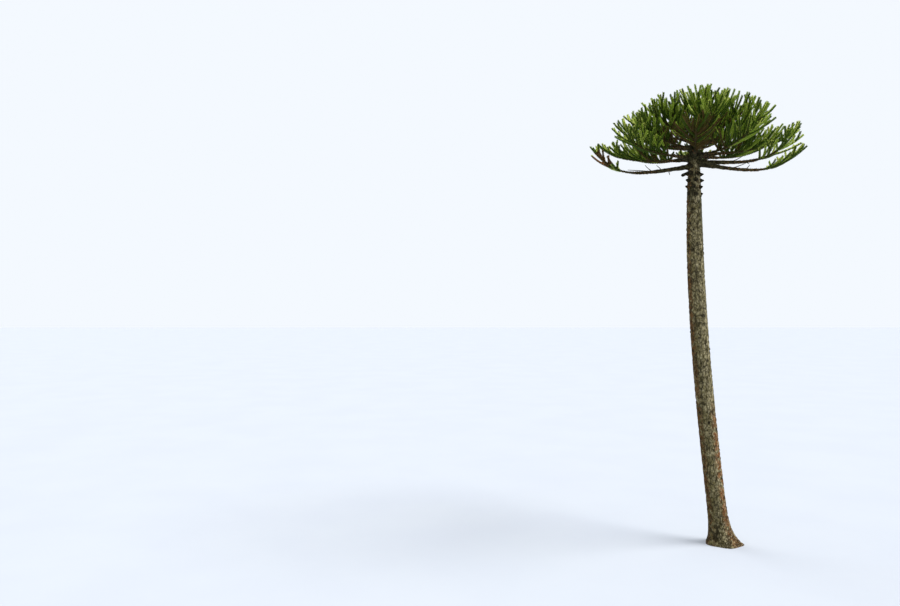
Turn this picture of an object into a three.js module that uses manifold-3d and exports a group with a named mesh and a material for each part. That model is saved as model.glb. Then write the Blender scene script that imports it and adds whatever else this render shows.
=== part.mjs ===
// A monkey puzzle tree rooted in level ground: a bare, slightly leaning trunk under an umbrella crown.
// Units are millimetres and radians. +Z is up, and the origin is the middle of the flat cut at ground level.
// Seen from the front (looking along +Y) the trunk leans to -X and carries its lowest boughs to -X and +X.
import * as THREE from "three";
import { mergeVertices } from "three/addons/utils/BufferGeometryUtils.js";
import Module from "manifold-3d";

// Driving dimensions of the trunk
const TRUNK_HEIGHT = 11980;
const STEM_RADIUS = 277;
const SLOW_TAPER = 35;
const TRUNK_TIP_RADIUS = 62;
const TAPER_POWER = 8;
const FLARE_RADIUS = 250;
const FLARE_HEIGHT = 280;
const FLARE_BIAS = 0.35;
const FLARE_LOBES = 5;
const LOBE_DEPTH = 0.16;
const LEAN = 755;
const LEAN_HEIGHT = 10500;
const SWAY = 70;

// The trunk's sides, and the heights of its rings in the flare and among the boughs
const TRUNK_SIDES = 15;
const FOOT_RINGS = [0, 60, 160, 290, 450];
const CROWN_RINGS = [10950, 11300, 11600, 11820, TRUNK_HEIGHT];

// Whorls of scars where boughs were shed, from the highest down. The step between them grows with each one.
// Each scar swells at a side's corner of the trunk, and the corners that it may take turn from whorl to whorl.
const WHORLS = 43;
const WHORL_TOP = 10700;
const WHORL_STEP = 190;
const WHORL_STEP_GROWTH = 1.1;
const SCARS = 5;
const SCAR_RISE = 14;
const WHORL_SWELL = 4;
const SCAR_SHARPNESS = 2;
const WHORL_SEED_STEP = 7;

// Driving dimensions of the crown, a rounded cone over a wide rim that is a little higher towards +X
const CROWN_TOP = 13000;
const RIM_HEIGHT = 11380;
const CROWN_RADIUS = 3080;
const DOME_POWER = 1.9;
const HIGHER_SIDE = 100;
const CROWN_HEART = 10250;

// Every tier of boughs, from the lowest up. azimuths: its directions. height: where it leaves the trunk.
// reach: how far its last shoot gets. bare: the share of the reach that is bare limb. slope and curl: the height
// gained over the whole reach, evenly and near the end. power: how late the curl comes. rise: how much its shoots
// stand up.
const TIERS = [
  {
    name: "low", azimuths: [3.1, 5.45, 0.1], height: 10800, reach: 3040,
    bare: 0.6, slope: -430, curl: 1030, power: 5, rise: 0.3,
  },
  {
    name: "skirt", azimuths: evenly(8, 0.45), height: 11020, reach: 2780,
    bare: 0.3, slope: -60, curl: 560, power: 3, rise: 0.45,
  },
  {
    name: "middle", azimuths: evenly(7, 0.1), height: 11270, reach: 2300,
    bare: 0.25, slope: 170, curl: 480, power: 2, rise: 0.6,
  },
  {
    name: "upper", azimuths: evenly(6, 0.55), height: 11500, reach: 1720,
    bare: 0.24, slope: 420, curl: 330, power: 2, rise: 0.75,
  },
  {
    name: "crest", azimuths: evenly(5, 0.9), height: 11720, reach: 1120,
    bare: 0.22, slope: 500, curl: 180, power: 2, rise: 0.8,
  },
];
const AZIMUTH_SPREAD = [-0.08, 0.08];
const REACH_SPREAD = [0.95, 1.05];
const HEIGHT_SPREAD = [-45, 45];
const SWING = [-230, 230];
const BOUGH_ROOT_RADIUS = 60;
const BOUGH_END_RADIUS = 30;
const BOUGH_SIDES = 5;
const BOUGH_RING_STEP = 380;
const STEM_END = 0.84;
const STEM_SIDES = 4;
const STEM_RINGS = 4;
const STEM_END_RADIUS = 20;

// Rope-like shoots: slim where they leave the stem, even along their length, and blunt
const SHOOT_LENGTH = 740;
const SHOOT_RADIUS = 70;
const SHOOT_SIDES = 3;
const SHOOT_STATIONS = [
  { at: 0, width: 0.24 },
  { at: 0.2, width: 0.9 },
  { at: 0.95, width: 0.8 },
  { at: 1, width: 0 },
];
const LENGTH_TRIES = [1.12, 1, 0.88, 0.76, 0.64];
const MIDWAY = 0.6;

// How the shoots stand on a mass's stem. Shares are of the stem's or the shoot's length, and lift is how far a
// shoot turns upwards halfway.
const PAIR_SPACING = 225;
const FEWEST_PAIRS = 3;
const PAIR_PLACE = 0.4;
const STANDING_PLACE = 0.9;
const STAGGER = 0.035;
const WIDE_ANGLE = 1.35;
const NARROW_ANGLE = 0.6;
const ANGLE_SPREAD = [-0.15, 0.15];
const SIDE_LENGTH = [0.85, 1.15];
const SIDE_RISE = [0.4, 1];
const SIDE_LIFT = [0.36, 0.84];
const STANDING_LENGTH = [0.75, 1.05];
const STANDING_RISE = 0.45;
const STANDING_LEAN = [0.25, 0.75];
const STANDING_LIFT = 0.3;
const LAST_ROOT = 0.96;
const END_ROOT = 0.92;
const END_LENGTH = 0.95;
const END_LIFT = 0.6;

// The leader that the trunk ends in, with its shoots in whorls
const LEADER_LENGTH = 420;
const LEADER_WHORLS = 3;
const LEADER_WHORL_SHOOTS = 5;
const LEADER_SHOOT_LENGTH = [0.7, 1];
const LEADER_RISE = 0.2;
const LEADER_TOP_LENGTH = 0.5;

// How clear the shoots keep of each other, tested at points along them
const SAMPLES = 8;
const CLEARANCE = 6;
const OWN_CLEARANCE = 0.68;
const FREE_SHARE = 0.2;
const LIMB_START = 0.05;

const GAP = 0.3;
const TRUNK_GAP = 0.42;

// How far a surface may move where slivers along the joints of fused solids are merged away
const TRUNK_SLIVER = 0.1;
const MASS_SLIVER = 3;

// Dead stubs on the scars of the highest whorls, pointed and shorter on each lower one, and a long blunt one that
// droops. Their radii are at shares (at) of their length from inside the trunk to the tip. STUB_CLEARANCE is the
// angle that those of the highest whorl keep from a low bough.
const STUB_WHORLS = 5;
const STUB_LENGTH = 142;
const STUB_SHORTENING = 25;
const STUB_SPREAD = [0.75, 1.1];
const STUB_RISE = [-0.05, 0.25];
const STUB_SINK = 70;
const STUB_SIDES = 5;
const STUB_CLEARANCE = 0.6;
const POINTED = [
  { at: 0, radius: 70 },
  { at: 1, radius: 0 },
];
const BLUNT = [
  { at: 0, radius: 36 },
  { at: 0.95, radius: 27 },
  { at: 1, radius: 0 },
];
const LONG_STUB = { height: 10640, azimuth: 3.3, length: 250, rise: -0.5 };
const GOLDEN_ANGLE = Math.PI * (3 - Math.sqrt(5));

const SEED = 4117;
const TIER_SEED_STEP = 1000;
const BOUGH_SEED_STEP = 37;
const LEADER_SEED_STEP = 99;
const UP = new THREE.Vector3(0, 0, 1);
const FRAME_STEPS = 20;

const barkMaterial = new THREE.MeshStandardMaterial({ color: 0x6b5f45, roughness: 0.95, metalness: 0 });
const limbMaterial = new THREE.MeshStandardMaterial({ color: 0x463c28, roughness: 0.95, metalness: 0 });
const leafMaterial = new THREE.MeshStandardMaterial({ color: 0x3d5a1e, roughness: 0.6, metalness: 0 });

const wasm = await Module();
wasm.setup();

// Directions spaced evenly round the trunk.
function evenly(count, first) {
  return Array.from({ length: count }, (_, i) => first + (2 * Math.PI * i) / count);
}

// A repeatable stream of numbers from 0 to 1. The first number follows the seed too closely and is dropped.
function seededRandom(seed) {
  let state = seed >>> 0;
  const next = () => {
    state = (Math.imul(state, 1664525) + 1013904223) >>> 0;
    return state / 4294967296;
  };
  next();
  return next;
}

// A number from the stream, stretched to a range.
function within([low, high], random) {
  return low + (high - low) * random();
}

// Solids and geometry

function solidOf(geometry) {
  return new wasm.Manifold(
    new wasm.Mesh({
      numProp: 3,
      vertProperties: geometry.attributes.position.array,
      triVerts: new Uint32Array(geometry.index.array),
    }),
  );
}

function geometryOf(solid) {
  const mesh = solid.getMesh();
  return new THREE.BufferGeometry()
    .setAttribute("position", new THREE.BufferAttribute(mesh.vertProperties, 3))
    .setIndex(new THREE.BufferAttribute(mesh.triVerts, 1));
}

// Fuses solids into one body: slivers along the joints are merged away, a hollow that the fusing seals is
// filled, and a loose scrap is dropped.
function fuse(solids, sliver) {
  const bodies = wasm.Manifold.union(solids).asOriginal().simplify(sliver).decompose();
  return bodies.reduce((best, body) => (body.volume() > best.volume() ? body : best));
}

function shapeOnly(geometry) {
  geometry.deleteAttribute("normal");
  geometry.deleteAttribute("uv");
  return mergeVertices(geometry);
}

// Bends an upright cylinder or cone of unit height along a curve, with one ring at each station's share of the
// curve (at) and its radius there.
function bendAlong(upright, curve, stations) {
  const geometry = shapeOnly(upright);
  const frames = curve.computeFrenetFrames(FRAME_STEPS);
  const positions = geometry.attributes.position;
  const point = new THREE.Vector3();
  for (let i = 0; i < positions.count; i++) {
    const { at, radius } = stations[Math.round((positions.getY(i) + 0.5) * (stations.length - 1))];
    const frame = Math.round(at * FRAME_STEPS);
    const [x, z] = [positions.getX(i), positions.getZ(i)];
    point.copy(curve.getPointAt(at));
    point.addScaledVector(frames.normals[frame], z * radius);
    point.addScaledVector(frames.binormals[frame], x * radius);
    positions.setXYZ(i, point.x, point.y, point.z);
  }
  return geometry;
}

function taperedStations(rings, startRadius, endRadius) {
  return Array.from({ length: rings + 1 }, (_, i) => ({
    at: i / rings,
    radius: startRadius + ((endRadius - startRadius) * i) / rings,
  }));
}

// The trunk

function trunkAxis(height) {
  const share = Math.min(height / LEAN_HEIGHT, 1);
  const sway = SWAY * Math.sin((Math.PI * height) / TRUNK_HEIGHT);
  return new THREE.Vector3(-LEAN * Math.sin((share * Math.PI) / 2), sway, height);
}

// The trunk's radius without its scars. The angle is counted from the front towards +X.
function trunkRadius(height, angle) {
  const share = height / TRUNK_HEIGHT;
  const stem = TRUNK_TIP_RADIUS + (STEM_RADIUS - TRUNK_TIP_RADIUS - SLOW_TAPER * share) * (1 - share ** TAPER_POWER);
  const flare = FLARE_RADIUS * Math.exp(-height / FLARE_HEIGHT);
  return stem + flare * (1 + LOBE_DEPTH * Math.cos(FLARE_LOBES * angle) + FLARE_BIAS * Math.sin(angle));
}

// The whorls from the highest down, each with its height and the angle of its first scar.
function planWhorls() {
  const random = seededRandom(SEED + WHORL_SEED_STEP);
  return Array.from({ length: WHORLS }, (_, k) => ({
    height: WHORL_TOP - WHORL_STEP * k - WHORL_STEP_GROWTH * k * k,
    first: (2 * Math.PI * Math.floor(random() * (TRUNK_SIDES / SCARS))) / TRUNK_SIDES,
  }));
}

// The heights of the trunk's rings from the ground up. A ring on a whorl also has the rise of its scars.
function planRings() {
  const foot = FOOT_RINGS.map((height) => ({ height, first: null }));
  const crown = CROWN_RINGS.map((height) => ({ height, first: null }));
  const stem = whorls.flatMap((whorl, k) => {
    const next = whorls[k + 1];
    return next ? [whorl, { height: (whorl.height + next.height) / 2, first: null }] : [whorl];
  });
  return [...foot, ...stem.reverse(), ...crown];
}

function scarRise(first, angle) {
  if (first === null) return 0;
  const facing = (1 + Math.cos(SCARS * (angle - first))) / 2;
  return WHORL_SWELL + SCAR_RISE * facing ** SCAR_SHARPNESS;
}

// The trunk's outer surface, grown outwards by the given amount.
function trunkGeometry(growth) {
  const rings = planRings();
  const geometry = shapeOnly(new THREE.CylinderGeometry(1, 1, 1, TRUNK_SIDES, rings.length - 1));
  const positions = geometry.attributes.position;
  for (let i = 0; i < positions.count; i++) {
    const row = Math.round((positions.getY(i) + 0.5) * (rings.length - 1));
    const { height, first } = rings[row];
    const [x, z] = [positions.getX(i), positions.getZ(i)];
    const onAxis = Math.hypot(x, z) < 0.5;
    const angle = Math.atan2(x, z);
    const radius = onAxis ? 0 : trunkRadius(height, angle) + scarRise(first, angle) + growth;
    const axis = trunkAxis(height);
    const lift = row === rings.length - 1 ? growth : 0;
    positions.setXYZ(i, axis.x + Math.sin(angle) * radius, axis.y - Math.cos(angle) * radius, height + lift);
  }
  return geometry;
}

// A stub stands out from the trunk's axis in the direction of its azimuth, which is counted from +X.
function stubSolid({ height, azimuth, length, rise }, stations) {
  const outward = new THREE.Vector3(Math.cos(azimuth), Math.sin(azimuth), rise).normalize();
  const root = trunkAxis(height).addScaledVector(outward, trunkRadius(height, 0) - STUB_SINK);
  const line = new THREE.LineCurve3(root, root.clone().addScaledVector(outward, STUB_SINK + length));
  return solidOf(bendAlong(new THREE.ConeGeometry(1, 1, STUB_SIDES, stations.length - 1), line, stations));
}

// The pointed stubs, without those of the highest whorl that a low bough would touch.
function planStubs() {
  const random = seededRandom(SEED);
  const clear = (azimuth) => TIERS[0].azimuths.every((low) => Math.cos(low - azimuth) < Math.cos(STUB_CLEARANCE));
  const stubs = whorls.slice(0, STUB_WHORLS).flatMap(({ height, first }, k) =>
    evenly(SCARS, first - Math.PI / 2).map((azimuth) => ({
      height,
      azimuth,
      length: (STUB_LENGTH - STUB_SHORTENING * k) * within(STUB_SPREAD, random),
      rise: within(STUB_RISE, random),
    })),
  );
  return stubs.filter(({ height, azimuth }) => height < WHORL_TOP || clear(azimuth));
}

function trunkSolid() {
  const stubs = planStubs().map((stub) => stubSolid(stub, POINTED));
  return fuse([solidOf(trunkGeometry(0)), ...stubs, stubSolid(LONG_STUB, BLUNT)], TRUNK_SLIVER);
}

// The boughs

// A bough's centreline from the trunk's axis (0) to its last shoot's tip (1), or a stretch of it.
class BoughCurve extends THREE.Curve {
  constructor(bough, from, to) {
    super();
    Object.assign(this, { bough, from, to });
  }

  getPoint(t, target = new THREE.Vector3()) {
    const { root, azimuth, reach, swing, slope, curl, power } = this.bough;
    const s = this.from + (this.to - this.from) * t;
    const across = swing * s * s;
    return target.set(
      root.x + Math.cos(azimuth) * reach * s - Math.sin(azimuth) * across,
      root.y + Math.sin(azimuth) * reach * s + Math.cos(azimuth) * across,
      root.z + slope * s + curl * s ** power,
    );
  }
}

function planBough(tier, level, i) {
  const random = seededRandom(SEED + TIER_SEED_STEP * (level + 1) + BOUGH_SEED_STEP * i);
  const azimuth = tier.azimuths[i] + within(AZIMUTH_SPREAD, random);
  const higher = HIGHER_SIDE * Math.cos(azimuth);
  const height = tier.height + within(HEIGHT_SPREAD, random) + higher / 2;
  return {
    name: `${tier.name}_${i + 1}`,
    random,
    root: trunkAxis(height),
    azimuth,
    reach: tier.reach * within(REACH_SPREAD, random),
    swing: within(SWING, random),
    slope: tier.slope,
    curl: tier.curl + higher / 2,
    radius: BOUGH_ROOT_RADIUS * Math.sqrt(tier.reach / CROWN_RADIUS),
    power: tier.power,
    bare: tier.bare,
    rise: tier.rise,
  };
}

function boughSolid(bough, cutter) {
  const curve = new BoughCurve(bough, 0, bough.bare);
  const rings = Math.ceil((bough.bare * bough.reach) / BOUGH_RING_STEP);
  const upright = new THREE.CylinderGeometry(1, 1, 1, BOUGH_SIDES, rings);
  const stations = taperedStations(rings, bough.radius, BOUGH_END_RADIUS);
  return solidOf(bendAlong(upright, curve, stations)).subtract(cutter);
}

// The foliage

function domeHeight(run) {
  return RIM_HEIGHT + (CROWN_TOP - RIM_HEIGHT) * (1 - Math.min(run / CROWN_RADIUS, 1) ** DOME_POWER);
}

// Whether a point is inside the crown's own space, under the dome and within the rim.
function insideCrown(point) {
  const axis = trunkAxis(point.z);
  const run = Math.hypot(point.x - axis.x, point.y - axis.y);
  const higher = (HIGHER_SIDE * (point.x - axis.x)) / CROWN_RADIUS;
  return run < CROWN_RADIUS && point.z < Math.min(domeHeight(run) + higher, CROWN_TOP);
}

// What is already grown, as points with the limb's or shoot's radius there and the name of what owns it.
class Thicket {
  constructor() {
    this.points = [];
  }

  add(curve, radiusAt, owner) {
    for (let i = 0; i <= SAMPLES; i++) {
      this.points.push({ place: curve.getPoint(i / SAMPLES), radius: radiusAt(i / SAMPLES), owner });
    }
  }

  // Whether a shoot keeps clear of all that another mass or limb owns, and past its root of its own mass too.
  clears(curve, owner) {
    const slack = (SHOOT_LENGTH / SAMPLES) ** 2 / 2;
    for (let i = 0; i <= SAMPLES; i++) {
      const at = curve.getPoint(i / SAMPLES);
      const nearRoot = i / SAMPLES <= FREE_SHARE;
      for (const { place, radius, owner: other } of this.points) {
        if (other === owner && nearRoot) continue;
        const widths = SHOOT_RADIUS + radius;
        const reach = other === owner ? (widths * OWN_CLEARANCE) ** 2 : (widths + CLEARANCE) ** 2 + slack;
        if (at.distanceToSquared(place) < reach) return false;
      }
    }
    return true;
  }
}

function shootCurve(start, heading, length, lift) {
  const control = start.clone().addScaledVector(heading, length / 2);
  const bent = heading.clone().addScaledVector(UP, lift).normalize();
  const end = control.clone().addScaledVector(bent, length / 2);
  return new THREE.QuadraticBezierCurve3(start, control, end);
}

// Tries a shoot at each length in turn, longest first, and keeps the first that fits.
function growShoot(thicket, shoots, owner, start, heading, length, lift) {
  for (const share of LENGTH_TRIES) {
    const curve = shootCurve(start, heading, length * share, lift);
    if (!insideCrown(curve.getPoint(1)) || !insideCrown(curve.getPoint(MIDWAY))) continue;
    if (!thicket.clears(curve, owner)) continue;
    shoots.push(curve);
    thicket.add(curve, () => SHOOT_RADIUS, owner);
    return;
  }
}

// The shoots of one mass: one that carries the stem on, then pairs along it that open wider towards its root,
// with two standing shoots that lean apart between them. All lean away from the heart of the crown.
function growMass(bough, stem, thicket) {
  const { random, name, rise } = bough;
  const shoots = [];
  const heart = new THREE.Vector3(bough.root.x, bough.root.y, CROWN_HEART);
  const pairs = Math.max(FEWEST_PAIRS, Math.round(stem.getLength() / PAIR_SPACING));
  const grow = (along, heading, length, lift) =>
    growShoot(thicket, shoots, name, stem.getPoint(along), heading, SHOOT_LENGTH * length, lift);
  grow(END_ROOT, stem.getTangent(1), END_LENGTH, END_LIFT);
  for (let i = pairs - 1; i >= 0; i--) {
    const along = (i + PAIR_PLACE) / pairs;
    const forward = stem.getTangent(along);
    const sideways = new THREE.Vector3().crossVectors(UP, forward).normalize();
    const outward = stem.getPoint(along).sub(heart).normalize();
    const open = WIDE_ANGLE + (NARROW_ANGLE - WIDE_ANGLE) * along;
    for (const side of [-1, 1]) {
      const angle = open + within(ANGLE_SPREAD, random);
      const heading = forward.clone().multiplyScalar(Math.cos(angle));
      heading.addScaledVector(sideways, side * Math.sin(angle));
      heading.addScaledVector(outward, rise * within(SIDE_RISE, random)).normalize();
      grow(along + STAGGER * side, heading, within(SIDE_LENGTH, random), within(SIDE_LIFT, random));
    }
    for (const side of [-1, 1]) {
      const heading = outward.clone().addScaledVector(UP, STANDING_RISE);
      heading.addScaledVector(sideways, side * within(STANDING_LEAN, random)).normalize();
      const place = Math.min((i + STANDING_PLACE) / pairs + STAGGER * side, LAST_ROOT);
      grow(place, heading, within(STANDING_LENGTH, random), STANDING_LIFT);
    }
  }
  return shoots;
}

// The leader's shoots stand round the trunk's tip in whorls, like a shuttlecock.
function growLeader(stem, thicket) {
  const shoots = [];
  const random = seededRandom(SEED + LEADER_SEED_STEP);
  growShoot(thicket, shoots, "leader", stem.getPoint(END_ROOT), UP, SHOOT_LENGTH * LEADER_TOP_LENGTH, 0);
  for (let whorl = LEADER_WHORLS - 1; whorl >= 0; whorl--) {
    const along = (whorl + PAIR_PLACE) / LEADER_WHORLS;
    for (const azimuth of evenly(LEADER_WHORL_SHOOTS, whorl * GOLDEN_ANGLE)) {
      const heading = new THREE.Vector3(Math.cos(azimuth), Math.sin(azimuth), LEADER_RISE + along);
      const length = SHOOT_LENGTH * within(LEADER_SHOOT_LENGTH, random);
      growShoot(thicket, shoots, "leader", stem.getPoint(along), heading.normalize(), length, END_LIFT);
    }
  }
  return shoots;
}

function shootSolid(curve) {
  const upright = new THREE.ConeGeometry(1, 1, SHOOT_SIDES, SHOOT_STATIONS.length - 1);
  const stations = SHOOT_STATIONS.map(({ at, width }) => ({ at, radius: SHOOT_RADIUS * width }));
  return solidOf(bendAlong(upright, curve, stations));
}

function massSolid(stem, startRadius, shoots) {
  const upright = new THREE.CylinderGeometry(1, 1, 1, STEM_SIDES, STEM_RINGS);
  const core = bendAlong(upright, stem, taperedStations(STEM_RINGS, startRadius, STEM_END_RADIUS));
  return fuse([solidOf(core), ...shoots.map(shootSolid)], MASS_SLIVER);
}

// The whole tree

const tree = new THREE.Group();

function addPiece(name, solid, material) {
  const mesh = new THREE.Mesh(geometryOf(solid), material);
  mesh.name = name;
  tree.add(mesh);
}

const whorls = planWhorls();
const boughs = TIERS.flatMap((tier, level) => tier.azimuths.map((_, i) => planBough(tier, level, i)));
const thicket = new Thicket();
const upperTrunk = new THREE.LineCurve3(trunkAxis(LEAN_HEIGHT), trunkAxis(TRUNK_HEIGHT));
thicket.add(upperTrunk, (t) => trunkRadius(LEAN_HEIGHT + t * (TRUNK_HEIGHT - LEAN_HEIGHT), 0), "trunk");
for (const bough of boughs) {
  thicket.add(new BoughCurve(bough, LIMB_START, bough.bare), () => bough.radius, `limb ${bough.name}`);
}
for (const bough of boughs) {
  bough.stem = new BoughCurve(bough, bough.bare + GAP / bough.reach, STEM_END);
  thicket.add(bough.stem, () => BOUGH_END_RADIUS, bough.name);
}

const leaderStem = new THREE.LineCurve3(
  trunkAxis(TRUNK_HEIGHT).addScaledVector(UP, GAP),
  trunkAxis(TRUNK_HEIGHT).addScaledVector(UP, LEADER_LENGTH),
);
thicket.add(leaderStem, () => TRUNK_TIP_RADIUS, "leader");

addPiece("trunk", trunkSolid(), barkMaterial);
const leaderShoots = growLeader(leaderStem, thicket);
addPiece("foliage_leader", massSolid(leaderStem, TRUNK_TIP_RADIUS, leaderShoots), leafMaterial);

const cutter = solidOf(trunkGeometry(TRUNK_GAP));
for (const bough of boughs.reverse()) {
  addPiece(`bough_${bough.name}`, boughSolid(bough, cutter), limbMaterial);
  const shoots = growMass(bough, bough.stem, thicket);
  addPiece(`foliage_${bough.name}`, massSolid(bough.stem, BOUGH_END_RADIUS, shoots), leafMaterial);
}

export default tree;
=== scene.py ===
# A monkey puzzle tree rooted in level ground: a bare, leaning trunk with its bark's relief under an umbrella
# crown. Boughs, masses and shoots grow by the rule of the part's source, carried to finer shoots that are
# clothed in scale leaves. Units are metres and radians, and +Z is up.
import math
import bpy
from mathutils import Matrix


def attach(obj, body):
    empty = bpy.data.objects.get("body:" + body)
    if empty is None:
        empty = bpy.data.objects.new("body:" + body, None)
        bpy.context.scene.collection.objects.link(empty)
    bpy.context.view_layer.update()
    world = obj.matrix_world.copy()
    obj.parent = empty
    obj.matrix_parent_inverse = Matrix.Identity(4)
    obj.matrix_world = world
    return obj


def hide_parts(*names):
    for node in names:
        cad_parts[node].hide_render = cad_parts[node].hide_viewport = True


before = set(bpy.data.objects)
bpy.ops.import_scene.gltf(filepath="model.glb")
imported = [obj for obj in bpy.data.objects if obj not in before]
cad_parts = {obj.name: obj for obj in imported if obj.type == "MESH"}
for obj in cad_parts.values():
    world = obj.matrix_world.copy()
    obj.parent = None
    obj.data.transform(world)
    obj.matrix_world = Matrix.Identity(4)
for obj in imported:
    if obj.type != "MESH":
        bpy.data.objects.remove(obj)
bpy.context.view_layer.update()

from types import SimpleNamespace

import bpy
import numpy as np
from mathutils import Vector, noise

bpy.ops.object.select_all(action="DESELECT")

TAU = 2 * math.pi
EAST = np.array([1.0, 0.0, 0.0])
NORTH = np.array([0.0, 1.0, 0.0])
UP = np.array([0.0, 0.0, 1.0])
GOLDEN_ANGLE = math.pi * (3 - math.sqrt(5))

# How finely a line's length is measured, and how far to each side of a point its direction is read, as
# shares of the line
LINE_STEPS = 200
TANGENT_STEP = 1e-4
FRAME_STEP = 1e-3

# Directions that count as upright: their reach sideways at most, or their rise at least
UPRIGHT_REACH = 0.05
UPRIGHT_RISE = 0.9

# The source's driving dimensions of the trunk
TRUNK_HEIGHT = 11.98
STEM_RADIUS = 0.277
SLOW_TAPER = 0.035
TRUNK_TIP_RADIUS = 0.062
TAPER_POWER = 8
FLARE_RADIUS = 0.25
FLARE_HEIGHT = 0.28
FLARE_BIAS = 0.35
FLARE_LOBES = 5
LOBE_DEPTH = 0.16
LEAN = 0.755
LEAN_HEIGHT = 10.5
SWAY = 0.07

# The source's whorls of scars
WHORLS = 43
WHORL_TOP = 10.7
WHORL_STEP = 0.19
WHORL_STEP_GROWTH = 0.0011
SCARS = 5
SCAR_PLACES = 3
SCAR_RISE = 0.014
WHORL_SWELL = 0.004
WHORL_SEED_STEP = 7

# The source's driving dimensions of the crown
CROWN_TOP = 13.0
RIM_HEIGHT = 11.38
CROWN_RADIUS = 3.08
DOME_POWER = 1.9
HIGHER_SIDE = 0.1
CROWN_HEART = 10.25


def evenly(count, first):
    """Directions spaced evenly round the trunk."""
    return [first + TAU * i / count for i in range(count)]


# The source's tiers of boughs, from the lowest up
TIER_VALUES = ("name", "azimuths", "height", "reach", "bare", "slope", "curl", "power", "rise")
TIERS = [
    dict(zip(TIER_VALUES, values))
    for values in (
        ("low", [3.1, 5.45, 0.1], 10.8, 3.04, 0.6, -0.43, 1.03, 5, 0.3),
        ("skirt", evenly(8, 0.45), 11.02, 2.78, 0.3, -0.06, 0.56, 3, 0.45),
        ("middle", evenly(7, 0.1), 11.27, 2.3, 0.25, 0.17, 0.48, 2, 0.6),
        ("upper", evenly(6, 0.55), 11.5, 1.72, 0.24, 0.42, 0.33, 2, 0.75),
        ("crest", evenly(5, 0.9), 11.72, 1.12, 0.22, 0.5, 0.18, 2, 0.8),
    )
]
AZIMUTH_SPREAD = (-0.08, 0.08)
REACH_SPREAD = (0.95, 1.05)
HEIGHT_SPREAD = (-0.045, 0.045)
SWING = (-0.23, 0.23)
BOUGH_ROOT_RADIUS = 0.06
BOUGH_END_RADIUS = 0.03
STEM_END = 0.84

# The source's shoots and how they stand
SHOOT_LENGTH = 0.74
SHOOT_RADIUS = 0.07
LENGTH_TRIES = (1.12, 1, 0.88, 0.76, 0.64)
MIDWAY = 0.6
PAIR_SPACING = 0.225
FEWEST_PAIRS = 3
PAIR_PLACE = 0.4
STANDING_PLACE = 0.9
STAGGER = 0.035
WIDE_ANGLE = 1.35
NARROW_ANGLE = 0.6
ANGLE_SPREAD = (-0.15, 0.15)
SIDE_LENGTH = (0.85, 1.15)
SIDE_RISE = (0.4, 1)
SIDE_LIFT = (0.36, 0.84)
STANDING_LENGTH = (0.75, 1.05)
STANDING_RISE = 0.45
STANDING_LEAN = (0.25, 0.75)
STANDING_LIFT = 0.3
LAST_ROOT = 0.96
END_ROOT = 0.92
END_LENGTH = 0.95
END_LIFT = 0.6
LEADER_LENGTH = 0.42
LEADER_WHORLS = 3
LEADER_WHORL_SHOOTS = 5
LEADER_SHOOT_LENGTH = (0.7, 1)
LEADER_RISE = 0.2
LEADER_TOP_LENGTH = 0.5
SAMPLES = 8
CLEARANCE = 0.006
OWN_CLEARANCE = 0.68
FREE_SHARE = 0.2
LIMB_START = 0.05
GAP = 0.0003

# The source's dead stubs
STUB_WHORLS = 5
STUB_LENGTH = 0.142
STUB_SHORTENING = 0.025
STUB_SPREAD = (0.75, 1.1)
STUB_RISE = (-0.05, 0.25)
STUB_SINK = 0.07
STUB_CLEARANCE = 0.6
STUB_RADIUS = 0.07
LONG_STUB = {"height": 10.64, "azimuth": 3.3, "length": 0.25, "rise": -0.5}
LONG_STUB_RADIUS = 0.036

SEED = 4117
TIER_SEED_STEP = 1000
BOUGH_SEED_STEP = 37
LEADER_SEED_STEP = 99

# Finer shoots: the same rule with closer pairs of shorter shoots, and short forks that turn up off a shoot
FINE_SEED_STEP = 501
FINE_RADIUS = 0.037
FINE_CLEARANCE = 1.14
FINE_FREE_SHARE = 0.45
FINE_SPACING = 0.1
FINE_LENGTH = 0.42
FINE_CURVE = 1.8
FORK_PLACES = (0.12, 0.26, 0.4, 0.54, 0.68)
FORK_SHIFT = (-0.05, 0.05)
FORK_ANGLE = (0.5, 0.8)
FORK_ROLL = (0.5, 1.5)
FORK_LENGTH = (0.22, 0.34)
FORK_LIFT = (0.8, 1.6)
FINE_TRIES = (1, 0.8, 0.6)

# The scale leaves that clothe a shoot
LEAVES_PER_METRE = 190
LEAF_LENGTH = 0.047
LEAF_WIDTH = 0.034
LEAF_LENGTH_SPREAD = (0.8, 1.1)
LEAF_WIDTH_SPREAD = (0.85, 1.1)
LEAF_WIDEST = 0.3
LEAF_KEEL_PLACE = 0.42
LEAF_KEEL = 0.14
LEAF_HOOK = 0.12
LEAF_TILT = (0.6, 0.5)
LEAF_JITTER = 0.08
LEAF_SHRINK = 0.15
FEWEST_LEAVES = 8
CORE_RADIUS = 0.02
CORE_SIDES = 4
CORE_RINGS = 4
CORE_TAPER = 0.6
LEAF_ROOT = 0.8
STEM_SIDES = 6
STEM_RINGS = 8
STEM_TIP_RADIUS = 0.016


def seeded_random(seed):
    """A repeatable stream of numbers from 0 to 1, with the first one dropped, as in the source."""
    state = seed

    def draw():
        nonlocal state
        state = (state * 1664525 + 1013904223) % 4294967296
        return state / 4294967296

    draw()
    return draw


def within(limits, draw):
    """A number from the stream, stretched to a range."""
    return limits[0] + (limits[1] - limits[0]) * draw()


def unit(vector):
    return vector / np.linalg.norm(vector)


def towards(azimuth, rise):
    """A direction that goes a metre out at an azimuth while it rises by so much."""
    return np.array([math.cos(azimuth), math.sin(azimuth), rise])


# The rule: the trunk


def trunk_axis(height):
    share = min(height / LEAN_HEIGHT, 1)
    sway = SWAY * math.sin(math.pi * height / TRUNK_HEIGHT)
    return np.array([-LEAN * math.sin(share * math.pi / 2), sway, height])


def flare_radius(height):
    return FLARE_RADIUS * np.exp(-height / FLARE_HEIGHT)


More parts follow.
